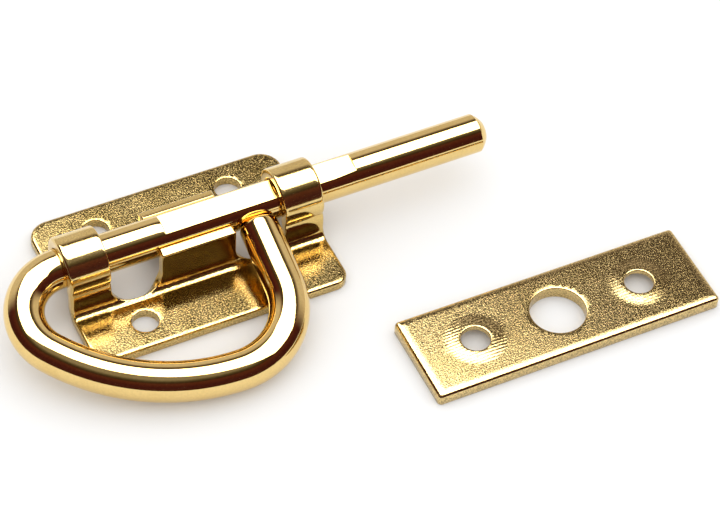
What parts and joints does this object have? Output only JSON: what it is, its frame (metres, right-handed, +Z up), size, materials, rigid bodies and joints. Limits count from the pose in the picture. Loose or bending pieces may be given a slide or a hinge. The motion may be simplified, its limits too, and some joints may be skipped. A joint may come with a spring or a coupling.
{
  "type": "toggle bolt latch",
  "caption": "Slide bolt with a drop-down D handle in a bent sheet bracket, and a flat strike plate that the bolt's end enters.",
  "frame": {"origin": "middle of the bottom of the box round the whole object, on the mounting face", "axes": "+X along the bolt towards its tip, +Z up out of the mounting face, handle on the -Y side"},
  "size_m": [0.1996, 0.1078, 0.0242],
  "materials": {
    "plated_bolt": "bright gold-coloured plating on smooth round bar",
    "plated_sheet": "bright gold-coloured plating on sheet with a fine orange-peel grain",
    "plated_plate": "gold-coloured plating on a grainy flat bar"
  },
  "bodies": {
    "bracket": {"bracket": "plated_sheet"},
    "bolt_front": {"bolt_nose": "plated_bolt"},
    "bolt": {"bolt_bar": "plated_bolt"},
    "strike": {"strike_plate": "plated_plate"}
  },
  "joints": [
    {"name": "bolt_throw", "type": "slide", "parent": "bracket", "child": "bolt_front", "axis": [1, 0, 0], "range_m": [-0.0017, 0.0017]},
    {"name": "handle_turn", "type": "hinge", "parent": "bolt_front", "child": "bolt", "pos_m": [-0.03747, 0.0254, 0.015], "axis": [-1, 0, 0], "range_deg": [0, 200]},
    {"name": "strike_lift", "type": "slide", "parent": "bracket", "child": "strike", "axis": [0, 0, 1], "range_m": [0, 0.06]}
  ]
}
